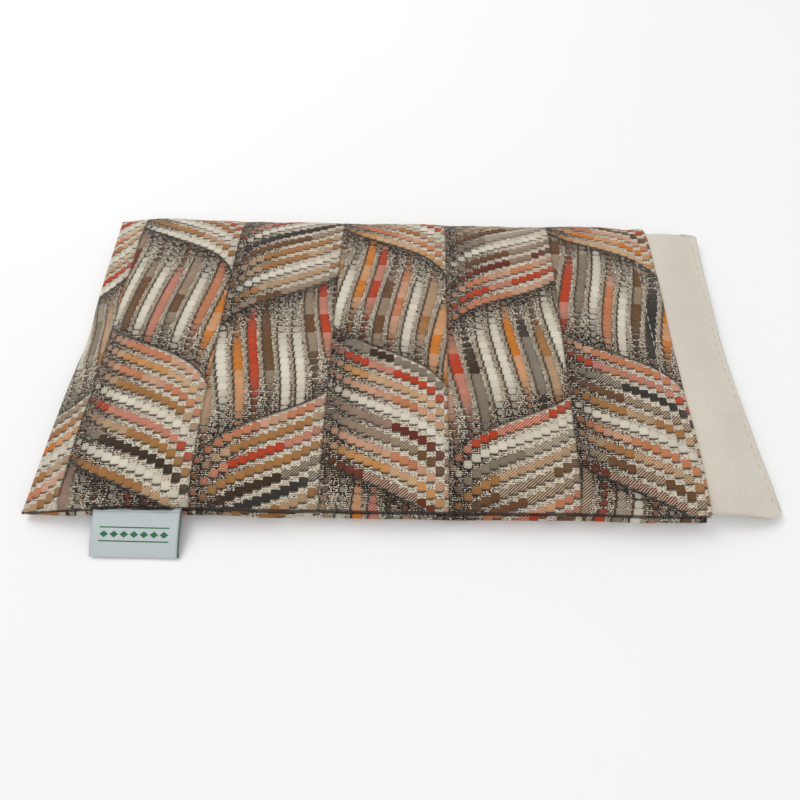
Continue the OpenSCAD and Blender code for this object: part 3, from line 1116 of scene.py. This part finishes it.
def cover_outside(cover, side):
    """The outside of the cover's top (side 1) or bottom (side -1), as a grid of points."""
    taper = cover.end_taper / MM
    roll = cover.seam_roll / MM
    grid = cover.grid / MM
    turn, run_in = roll_values()
    end_rows = np.arange(0, EDGE_RADIUS, END_ROW)
    body = np.concatenate([end_rows, EDGE_RADIUS + spaced(COVER_LENGTH - EDGE_RADIUS, grid)])
    d = np.concatenate([np.zeros(len(turn)), body])[:, None]
    row_turn = np.concatenate([turn[::-1], np.zeros(len(body))])[:, None]
    row_in = np.concatenate([run_in[::-1], np.zeros(len(body))])[:, None]
    columns = int(round(2 * COVER_HALF / grid)) + SIDE_COLUMNS
    v = np.linspace(-1, 1, columns)
    across = np.sin(np.pi / 2 * v)
    u = np.concatenate([[-1] * len(turn), across, [1] * len(turn)])[None, :]
    column_turn = np.concatenate([turn[::-1], np.zeros(columns), turn])[None, :]
    column_in = np.concatenate([run_in[::-1], np.zeros(columns), run_in])[None, :]

    full = fullness(d, taper)
    seam = seam_height(d, u, taper)
    settling = ease((d - MOUTH_FROM) / MOUTH_RUN)
    peak = blend(cover.crown / MM, cover.mouth_crown / MM, settling)
    from_seam = COVER_HALF * (1 - np.abs(u))
    if side > 0:
        edge = END_EDGE * round_edge(d, EDGE_RADIUS)
        lift = edge + (peak - seam_target(d, u) - SEAM_GAP - roll - END_EDGE) * full
        lift = lift * crown(u)
        high, size, seed = STUFFING
        uneven = high * lumps(d, COVER_HALF * u, size, seed)
        lift = lift + uneven * full * ease(from_seam / 15)
    else:
        lift = (seam - SEAM_GAP - roll) * round_edge(d, EDGE_RADIUS)
        lift = lift * base_curve(u, COVER_HALF, BASE_CORNER)
    angle = np.pi / 2 * np.maximum(row_turn, column_turn)
    height = roll * (1 - np.sin(angle)) + lift
    waist = cover.end_waist / MM * drawn_in(u) * (1 - ease(d / 70))
    mouth = cover.mouth_waist / MM * drawn_in(u) * ease((d - COVER_LENGTH + 60) / 60)
    x = d + roll * (1 - np.cos(np.pi / 2 * row_turn)) + row_in + waist - mouth
    half = cover_half_width(d, side)
    half = half - roll * (1 - np.cos(np.pi / 2 * column_turn)) - column_in
    if side < 0:
        depth = np.clip(lift / SWELL_DEPTH, 0, 1)
        swell = np.sin(np.pi * np.sqrt(depth)) * (1 - column_turn) * ease(d / 20)
        tuck = CREASE * ease(1 - lift / TUCK_DEPTH) * (np.abs(u) > 0.98) * ease(d / 20)
        half = half + SIDE_BULGE * swell - tuck
    y = half * u
    z = seam + side * (SEAM_GAP + height)
    gather = np.sin(2 * np.pi * d / PUCKER_PITCH + lumps(d, 0 * d, 23, 4.0))
    close = np.exp(-np.abs(from_seam - PUCKER_REACH) / PUCKER_REACH) * (1 - column_turn) * full
    z = z + side * PUCKER * gather * close
    if side > 0:
        room = HINGE.z + LABEL_SLOPE * (y - HINGE.y - LABEL_ROOM)
        beside_label = np.exp(-((d - LABEL_MIDDLE) / LABEL_REACH) ** 8)
        z = z + (np.minimum(z, np.maximum(room, seam + 0.2)) - z) * beside_label * (y < 0)
    points = np.stack(np.broadcast_arrays(x + COVER_START, y, z), axis=2)
    if side < 0:
        points[:, :, 2] = np.maximum(points[:, :, 2], FLOOR_GAP)
    return points


def flat_places(points, side):
    """Where each point lies on the flat cloth: how far from the end and past the front seam."""
    steps = np.linalg.norm(np.diff(points, axis=0), axis=2)
    middle = steps[:, steps.shape[1] // 2]
    u = np.concatenate([[0], np.cumsum(middle)])
    u = u - np.interp(COVER_START, points[:, points.shape[1] // 2, 0], u)
    steps = np.linalg.norm(np.diff(points, axis=1), axis=2)
    across = steps[steps.shape[0] // 2]
    v = -side * np.concatenate([[0], np.cumsum(across)])
    return np.stack(np.meshgrid(u, v, indexing="ij"), axis=2)


def with_hem(cover, points, flat, side):
    """Adds the hem: the cloth turns round the mouth's edge and runs back inside."""
    cloth = cover.cloth / MM
    grid = cover.grid / MM
    depth = cover.hem / MM
    normal = side * normals_of(points)
    radius = cloth * HEM_BEND
    rows = [points]
    places = [flat]
    last = points[-1]
    outward = normal[-1]
    for step in range(1, HEM_TURNS + 1):
        angle = np.pi * step / HEM_TURNS
        turned = last - outward * radius * (1 - math.cos(angle))
        turned = turned + np.array((1.0, 0, 0)) * radius * math.sin(angle)
        rows.append(turned[None])
        places.append(flat[-1:] + np.array((radius * angle, 0)))
    xs = points[:, points.shape[1] // 2, 0]
    for back in spaced(depth, grid)[1:]:
        row = int(np.argmin(np.abs(xs - (xs[-1] - back))))
        rows.append((points[row] - normal[row] * 2 * radius)[None])
        places.append(flat[-1:] + np.array((radius * np.pi + back, 0)))
    return np.concatenate(rows), np.concatenate(places)


def hem_groove(points, side):
    """Presses the cloth in along the row of hem stitches, and under each stitch."""
    gap = points[:, :, 0] - HEM_STITCH_X
    groove = HEM_GROOVE * np.exp(-(gap / 1.1) ** 2)
    wave = 1 + 0.35 * np.sin(2 * np.pi * points[:, :, 1] / PUCKER_PITCH)
    points[:, :, 2] -= side * groove * wave
    return points


# ---- Surfaces of the inner pillow ----------------------------------------------------------

SIDE_DRAW = 1.5          # how far the stuffing draws the middle of each side in
CLOSED_END_NARROW = 0.9  # how much narrower each side is toward the closed end
END_CORNER = 6           # radius of the end's corners
BACK_CORNER_CUT = 0.6    # how far the open end's back corner is cut in
FRONT_CORNER_CUT = 3.4   # the same at its front corner
CLOSED_CORNER_CUT = 2.0  # the same at the closed end's corners
EDGE_HALF = 0.75         # half the height of the sewn edge
CORNER_SAG = 1.2         # how far the open end's front corner hangs down
OPEN_REACH = 0.6         # how far the open end stands out at the back
FRONT_REACH = 2.4        # and how much further at the front


def pillow_outside(pillow, side, inset=0.0):
    """The inner pillow's top (side 1) or bottom (side -1), set in by the given inset."""
    grid = pillow.grid / MM
    taper = pillow.end_taper / MM
    flange = pillow.flange / MM
    end_rows = np.arange(0, 3, END_ROW)
    d = np.concatenate([
        end_rows,
        3 + spaced(PILLOW_LENGTH - 6, grid),
        PILLOW_LENGTH - end_rows[::-1],
    ])[:, None]
    columns = int(round(2 * PILLOW_HALF / grid)) + 16
    u = np.sin(np.pi / 2 * np.linspace(-1, 1, columns))[None, :]
    near = np.minimum(d, PILLOW_LENGTH - d)
    open_end = d > PILLOW_LENGTH / 2
    begin = np.where(open_end, flange, 0)
    full = fullness(near - begin, taper)
    side_seam = blend(SEAM_Z, BACK_SEAM_Z + 0.3, (1 + u) / 2)
    seam = blend(PILLOW_END_SEAM_Z, side_seam, fullness(near, taper))
    half = PILLOW_HALF - SIDE_DRAW * np.sin(np.pi * d / PILLOW_LENGTH) - inset
    half = half - CLOSED_END_NARROW * (1 - between(d, PILLOW_LENGTH - 60, PILLOW_LENGTH - 10))
    corner = ease((near - 1) / 6)
    front = ease(0.5 - u)
    open_cut = blend(BACK_CORNER_CUT, FRONT_CORNER_CUT, front)
    corner_cut = np.where(open_end, open_cut, CLOSED_CORNER_CUT)
    half = half - corner_cut * (1 - round_edge(near, END_CORNER))
    edge = (EDGE_HALF - 0.5 * inset) * round_edge(near, 1.0)
    if side > 0:
        peak = pillow.crown / MM - side_seam - inset
        lift = edge + (peak - edge) * full
        lift = lift * crown(u)
        lift = lift + 0.3 * lumps(d, PILLOW_HALF * u, 26, 3.1) * full * (1 - u ** 4)
    else:
        peak = side_seam - PILLOW_BASE - inset
        lift = edge + (peak - edge) * full
        lift = lift * base_curve(u, PILLOW_HALF, BASE_CORNER)
    pull = (pillow.end_waist / MM + 0.6 * lumps(PILLOW_HALF * u, 0 * u, 60, 0.7)) * (1 - u ** 2)
    reach = OPEN_REACH + FRONT_REACH * (1 - u) / 2
    reach = reach * between(d, PILLOW_LENGTH - 70, PILLOW_LENGTH)
    x = d + (pull + inset) * (1 - 2 * d / PILLOW_LENGTH) + reach
    gather = np.sin(2 * np.pi * d / PUCKER_PITCH + lumps(d, 0 * d, 19, 2.0))
    close = np.exp(-PILLOW_HALF * (1 - np.abs(u)) / 3) * (1 - u ** 8)
    z = seam + side * (SEAM_GAP + lift + PILLOW_PUCKER * gather * close * corner)
    sag = CORNER_SAG * ease((u ** 2 - 0.6) / 0.4) * (1 - ease(near / 16)) * open_end * front
    y = half * u * np.ones_like(d)
    points = np.stack(np.broadcast_arrays(x + PILLOW_START, y, z - sag), axis=2).copy()
    return points


# ---- Operators -----------------------------------------------------------------------------

def dress(made, body, slot, *nodes):
    """Puts a piece on its body and lets it stand for its CAD nodes. The slot is not used."""
    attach(made, body)
    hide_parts(*nodes)


class EYEPILLOW_OT_materials(bpy.types.Operator):
    """Make the cloth, thread, ribbon and seed materials"""

    bl_idname = "eyepillow.materials"
    bl_label = "Materials"

    def execute(self, context):
        scene = context.scene
        plain_weave_group()
        pattern_material(scene.eyepillow_weave)
        calico_material()
        thread_material("grey_thread", linear(206, 200, 190), linear(150, 144, 134))
        thread_material("natural_thread", linear(226, 218, 202), linear(196, 186, 168))
        ribbon_material(scene.eyepillow_label)
        seed_material(scene.eyepillow_pillow.seeds)
        return {"FINISHED"}


class EYEPILLOW_OT_cover(bpy.types.Operator):
    """Make the cover's two sewn panels, with their turned hems"""

    bl_idname = "eyepillow.cover"
    bl_label = "Cover Cloth"

    def execute(self, context):
        cover = context.scene.eyepillow_cover
        for name, side in (("cover_top", 1), ("cover_bottom", -1)):
            points = cover_outside(cover, side)
            if side > 0:
                points = settle(points, pressure=1.0, most=0.8, growth=0.004)
            points = hem_groove(points, side)
            flat = flat_places(points, side)
            points, flat = with_hem(cover, points, flat, side)
            cloth = cloth_shell(
                name + "_cloth", points, cover.cloth / MM, flat,
                material_named("leaf_cloth"), side
            )
            dress(cloth, "cover", "patterned_weave", name + "_panel")
        return {"FINISHED"}


class EYEPILLOW_OT_cover_stitches(bpy.types.Operator):
    """Sew the cover's seams and its hem"""

    bl_idname = "eyepillow.cover_stitches"
    bl_label = "Cover Stitches"

    def execute(self, context):
        cover = context.scene.eyepillow_cover
        radius = cover.thread / MM / 2
        pitch = cover.pitch / MM
        taper = cover.end_taper / MM
        paths = []
        for place in stitch_places(COVER_LENGTH, pitch):
            reach = float(cover_half_width(place, 1)) - STITCH_DEPTH
            for side in (-1, 1):
                z = float(seam_height(place, side, taper))
                middle = (COVER_START + place, side * reach, z)
                paths.append(sunk_stitch(cover, middle, (1, 0, 0)))
        waist = cover.end_waist / MM
        reach = COVER_HALF - STITCH_DEPTH
        for place in stitch_places(2 * reach, pitch):
            y = place - reach
            x = COVER_START + STITCH_DEPTH + waist * drawn_in(y / COVER_HALF)
            paths.append(sunk_stitch(cover, (x, y, END_SEAM_Z), (0, 1, 0)))
        seams = threads("cover_seam_stitches", paths, radius, material_named("grey_thread"))
        dress(seams, "cover", "cover_thread", "cover_seam_thread")

        paths = []
        reach = COVER_HALF - BASE_CORNER
        for side, name in ((1, "cover_top_cloth"), (-1, "cover_bottom_cloth")):
            cloth = bpy.data.objects[name]
            for place in stitch_places(2 * reach, pitch):
                y = place - reach
                x = HEM_STITCH_X - cover.mouth_waist / MM * drawn_in(y / COVER_HALF)
                paths.append(surface_stitch(cover, cloth, x, y, side))
        hems = threads("cover_hem_stitches", paths, radius, material_named("grey_thread"))
        dress(hems, "cover", "cover_thread", "cover_hem_thread")
        return {"FINISHED"}


LABEL_COLUMNS = 31    # points across the ribbon
FLAP_ROWS = 15        # points from the flap's root to its fold
FOLD_STEPS = 8        # turns round the fold
FLAP_ROOT = 0.25      # how far the flap reaches in behind its hinge
FOLD_ROOM = 0.3       # what the fold takes off the drop
FLAP_BOW = 0.5        # how far the flap bows up between its root and its fold
FLAP_RIPPLE = 0.12    # height of the wave along the fold
FLAP_CLEAR = 0.05     # least height of the flap above the floor
TAIL_OUT = 0.05       # how far the tail reaches out past the hinge
TAIL_ROWS = 5         # points from the tail's inner edge to the hinge


def leaf_lift(label):
    """How far the middle of each leaf of the folded ribbon lies from the fold's own middle."""
    return (label.ribbon + label.gap) / MM / 2


def flap_line(drop, middle):
    """The folded ribbon from its side: how far out and how high each point lies."""
    end = drop - middle - FOLD_ROOM
    out = np.linspace(-FLAP_ROOT, end, FLAP_ROWS)
    angles = np.pi * np.arange(1, FOLD_STEPS) / FOLD_STEPS
    upper = np.stack([out, np.full(FLAP_ROWS, middle)], axis=1)
    fold = np.stack([end + middle * np.sin(angles), middle * np.cos(angles)], axis=1)
    lower = np.stack([out[::-1], np.full(FLAP_ROWS, -middle)], axis=1)
    return np.concatenate([upper, fold, lower])


def flap_surface(label):
    """The flap's outside, falling from its hinge to the floor, and its flat places."""
    thick = label.ribbon / MM
    drop = label.drop / MM
    middle = leaf_lift(label)
    tip_z = ribbon_box[0].z + thick / 2 + middle
    fall = math.asin((HINGE.z - tip_z) / (drop - middle))
    line = flap_line(drop, middle)
    steps = np.linalg.norm(np.diff(line, axis=0), axis=1)
    run = np.concatenate([[0], np.cumsum(steps)])[:, None]
    across = np.linspace(0, 1, LABEL_COLUMNS)[None, :]
    out = line[:, :1]
    lift = line[:, 1:]
    slip = label.shift / MM * ease((middle - lift) / (2 * middle))
    bow = FLAP_BOW * np.sin(np.pi * np.minimum(out / drop, 1))
    ripple = FLAP_RIPPLE * np.sin(2 * np.pi * across + 0.6) * (out / drop)
    x = ribbon_box[0].x + RIBBON_WIDTH * across + slip
    y = HINGE.y - out * math.cos(fall) - (lift + bow) * math.sin(fall)
    z = HINGE.z - out * math.sin(fall) + (lift + bow) * math.cos(fall) + ripple
    z = z + max(0, FLAP_CLEAR + thick - z.min()) * np.clip(run / drop, 0, 1)
    points = np.stack(np.broadcast_arrays(x, y, z), axis=2)
    return points, np.stack(np.broadcast_arrays(RIBBON_WIDTH * across, run), axis=2)


def tail_surface(label, inner_y):
    """The tail's two leaves inside the seam: their points and their faces."""
    thick = label.ribbon / MM
    columns = ribbon_box[0].x + RIBBON_WIDTH * np.linspace(0, 1, LABEL_COLUMNS)
    rows = np.linspace(HINGE.y - TAIL_OUT, inner_y, TAIL_ROWS)
    x, y = np.meshgrid(columns, rows, indexing="ij")
    points = []
    faces = []
    for number, side in enumerate((1, -1)):
        for half in (thick / 2, -thick / 2):
            z = np.full(x.shape, HINGE.z + side * leaf_lift(label) + half)
            points.append(np.stack([x, y, z], axis=2).reshape(-1, 3))
        faces += shell_faces(*x.shape, start=2 * x.size * number)
    return np.concatenate(points), faces


class EYEPILLOW_OT_label(bpy.types.Operator):
    """Make the folded ribbon label: its sewn tail and its loose flap"""

    bl_idname = "eyepillow.label"
    bl_label = "Ribbon Label"

    def execute(self, context):
        label = context.scene.eyepillow_label
        satin = material_named("satin_cloth")
        points, flat = flap_surface(label)
        flap = cloth_shell("label_flap_ribbon", points, label.ribbon / MM, flat, satin, 1)
        dress(flap, "label", "satin_ribbon", "label_ribbon")

        inner_y = frame_box("label_sewn_tail")[1].y
        points, faces = tail_surface(label, inner_y)
        flat = np.stack([points[:, 0] - ribbon_box[0].x, np.zeros(len(points))], axis=1)
        tail = piece("label_tail_ribbon", points, faces, satin, flat)
        dress(tail, "cover", "satin_ribbon", "label_sewn_tail")
        return {"FINISHED"}


class EYEPILLOW_OT_inner_pillow(bpy.types.Operator):
    """Make the inner pillow's two cotton panels"""

    bl_idname = "eyepillow.inner_pillow"
    bl_label = "Inner Pillow Cloth"

    def execute(self, context):
        pillow = context.scene.eyepillow_pillow
        for name, side in (("pillow_top", 1), ("pillow_bottom", -1)):
            points = pillow_outside(pillow, side)
            if side > 0:
                points = settle(points, pressure=0.6, most=0.5, growth=0.004)
            flat = flat_places(points, side)
            cloth = cloth_shell(
                name + "_cloth", points, pillow.cloth / MM, flat,
                material_named("cotton_cloth"), side
            )
            dress(cloth, "inner_pillow", "calico", name + "_panel")
        return {"FINISHED"}


CORNER_GAP = 4.0            # how far from a corner the pillow's side seams start
PILLOW_STITCH_DEPTH = 0.35  # how deep the pillow's seam thread lies behind its edge
CLOSING_DEPTH = 2.4         # how far from the end the closing stitches run


class EYEPILLOW_OT_pillow_stitches(bpy.types.Operator):
    """Sew the inner pillow's seams and the end that was closed after filling"""

    bl_idname = "eyepillow.pillow_stitches"
    bl_label = "Inner Pillow Stitches"

    def execute(self, context):
        cover = context.scene.eyepillow_cover
        radius = cover.thread / MM / 2
        pitch = cover.pitch / MM
        points = pillow_outside(context.scene.eyepillow_pillow, 1)
        paths = []
        xs = points[:, 0, 0]
        for place in stitch_places(PILLOW_LENGTH - 2 * CORNER_GAP, pitch):
            x = PILLOW_START + CORNER_GAP + place
            for column, inward in ((0, PILLOW_STITCH_DEPTH), (-1, -PILLOW_STITCH_DEPTH)):
                y = float(np.interp(x, xs, points[:, column, 1])) + inward
                z = float(np.interp(x, xs, points[:, column, 2])) - SEAM_GAP
                paths.append(sunk_stitch(cover, (x, y, z), (1, 0, 0)))
        ys = points[0, :, 1]
        reach = PILLOW_HALF - BASE_CORNER
        for place in stitch_places(2 * reach, pitch):
            y = place - reach
            x = float(np.interp(y, ys, points[0, :, 0])) + PILLOW_STITCH_DEPTH
            paths.append(sunk_stitch(cover, (x, y, PILLOW_END_SEAM_Z), (0, 1, 0)))
        natural = material_named("natural_thread")
        seams = threads("pillow_seam_stitches", paths, radius, natural)
        dress(seams, "inner_pillow", "calico_thread", "pillow_seam_thread")

        cloth = bpy.data.objects["pillow_top_cloth"]
        paths = []
        last = points[-1]
        for place in stitch_places(2 * reach, pitch):
            y = place - reach
            x = float(np.interp(y, last[:, 1], last[:, 0])) - CLOSING_DEPTH
            paths.append(surface_stitch(cover, cloth, x, y))
        closing = threads("pillow_edge_stitches", paths, radius, natural)
        dress(closing, "inner_pillow", "calico_thread", "pillow_closing_thread")
        return {"FINISHED"}


SEED_ROOM = 0.9        # gap between the calico and the seeds
SEED_SHORTER = 0.972   # length of the mass of seeds, to one of the calico
SEED_NARROWER = 0.985  # and its width


class EYEPILLOW_OT_filling(bpy.types.Operator):
    """Make the mass of seeds that fills the inner pillow"""

    bl_idname = "eyepillow.filling"
    bl_label = "Seed Filling"

    def execute(self, context):
        pillow = context.scene.eyepillow_pillow
        inset = pillow.cloth / MM + SEED_ROOM
        seed = pillow.seeds / MM
        upper = pillow_outside(pillow, 1, inset)
        lower = pillow_outside(pillow, -1, inset)
        rows, columns = upper.shape[:2]
        across = np.linspace(-1, 1, columns)[None, :]
        along = np.linspace(-1, 1, rows)[:, None]
        inner = (1 - across ** 8) * (1 - along ** 30)
        inner = inner * ease((upper[:, :, 2] - lower[:, :, 2] - 1.5) / 4)
        upper[:, :, 2] += 0.25 * lumps(upper[:, :, 0], upper[:, :, 1], seed, 1.9) * inner
        lower[:, :, 2] += 0.15 * lumps(lower[:, :, 0], lower[:, :, 1], seed, 2.7) * inner
        faces = shell_faces(rows, columns)
        points = np.concatenate([upper.reshape(-1, 3), lower.reshape(-1, 3)])
        middle = PILLOW_START + PILLOW_LENGTH / 2
        points[:, 0] = middle + (points[:, 0] - middle) * SEED_SHORTER
        points[:, 1] *= SEED_NARROWER
        seeds = piece("flaxseed_fill", points, faces, material_named("brown_seeds"))
        dress(seeds, "inner_pillow", "flaxseed", "flaxseed_filling")
        return {"FINISHED"}


def softbox(name, place, size, power):
    """A large square lamp at a place, turned to the object."""
    lamp = bpy.data.lights.new(name, "AREA")
    lamp.shape = "SQUARE"
    lamp.size = size
    lamp.energy = power
    box = bpy.data.objects.new(name, lamp)
    box.location = place
    box.rotation_euler = (-Vector(place)).to_track_quat("-Z", "Y").to_euler()
    bpy.context.scene.collection.objects.link(box)


class EYEPILLOW_OT_stage(bpy.types.Operator):
    """Lay the floor, set the soft light and stand the camera"""

    bl_idname = "eyepillow.stage"
    bl_label = "Stage"

    def execute(self, context):
        stage = context.scene.eyepillow_stage
        scene = context.scene
        material, tree, shader = surface("pale_floor")
        clouds = cloudy(tree, object_place(tree), 0.004)
        shade = mixed(tree, clouds, linear(246, 246, 246), linear(250, 250, 250))
        put(tree, shader.inputs["Base Color"], shade)
        shader.inputs["Roughness"].default_value = 0.9
        shader.inputs["Specular IOR Level"].default_value = 0.1
        half = stage.floor / MM / 2
        corners = [(-half, -half, 0), (half, -half, 0), (half, half, 0), (-half, half, 0)]
        floor = piece("floor", corners, [(0, 1, 2, 3)], material)

        world = bpy.data.worlds.new("soft_light")
        world.use_nodes = True
        sky = world.node_tree.nodes["Background"]
        sky.inputs["Color"].default_value = (1, 1, 1, 1)
        sky.inputs["Strength"].default_value = stage.sky
        scene.world = world

        softbox("key_light", (-0.5, 0.55, 0.9), 0.7, stage.key)
        softbox("fill_light", (0.6, -0.7, 0.9), 0.9, stage.key * 0.4)

        camera = bpy.data.objects.new("camera", bpy.data.cameras.new("camera"))
        camera.data.lens = stage.lens
        camera.data.clip_start = 0.01
        turn = stage.azimuth
        rise = stage.elevation
        back = Vector((
            math.sin(turn) * math.cos(rise), -math.cos(turn) * math.cos(rise), math.sin(rise)
        ))
        right = Vector((math.cos(turn), math.sin(turn), 0))
        upward = back.cross(right)
        axes = Matrix((right, upward, back)).transposed().to_4x4()
        spin = Matrix.Rotation(stage.roll, 4, "Z")
        stand = Matrix.Translation(Vector(stage.target) + back * stage.distance)
        camera.matrix_world = stand @ axes @ spin
        scene.collection.objects.link(camera)
        scene.camera = camera
        scene.view_settings.view_transform = "Standard"
        return {"FINISHED"}


OPERATORS = (
    EYEPILLOW_OT_materials,
    EYEPILLOW_OT_stage,
    EYEPILLOW_OT_cover,
    EYEPILLOW_OT_cover_stitches,
    EYEPILLOW_OT_label,
    EYEPILLOW_OT_inner_pillow,
    EYEPILLOW_OT_pillow_stitches,
    EYEPILLOW_OT_filling,
)

SETTINGS = {
    "eyepillow_cover": CoverSettings,
    "eyepillow_pillow": PillowSettings,
    "eyepillow_weave": WeaveSettings,
    "eyepillow_label": LabelSettings,
    "eyepillow_stage": StageSettings,
}


class EYEPILLOW_PT_panel(bpy.types.Panel):
    """The eye pillow's settings and steps"""

    bl_idname = "EYEPILLOW_PT_panel"
    bl_label = "Eye Pillow"
    bl_space_type = "VIEW_3D"
    bl_region_type = "UI"
    bl_category = "Eye Pillow"

    def draw(self, context):
        for name, settings in SETTINGS.items():
            box = self.layout.box()
            box.label(text=settings.__doc__)
            group = getattr(context.scene, name)
            for setting in settings.__annotations__:
                box.prop(group, setting)
        for operator in OPERATORS:
            self.layout.operator(operator.bl_idname)


def register():
    """Registers the settings, the operators and the panel."""
    for name, settings in SETTINGS.items():
        bpy.utils.register_class(settings)
        setattr(bpy.types.Scene, name, bpy.props.PointerProperty(type=settings))
    for operator in OPERATORS:
        bpy.utils.register_class(operator)
    bpy.utils.register_class(EYEPILLOW_PT_panel)


def unregister():
    """Takes everything that register added away again."""
    bpy.utils.unregister_class(EYEPILLOW_PT_panel)
    for operator in reversed(OPERATORS):
        bpy.utils.unregister_class(operator)
    for name, settings in reversed(SETTINGS.items()):
        delattr(bpy.types.Scene, name)
        bpy.utils.unregister_class(settings)


def main():
    """Dresses the whole pillow."""
    register()
    bpy.ops.eyepillow.materials()
    bpy.ops.eyepillow.stage()
    bpy.ops.eyepillow.cover()
    bpy.ops.eyepillow.cover_stitches()
    bpy.ops.eyepillow.label()
    bpy.ops.eyepillow.inner_pillow()
    bpy.ops.eyepillow.pillow_stitches()
    bpy.ops.eyepillow.filling()


if __name__ == "__main__":
    main()
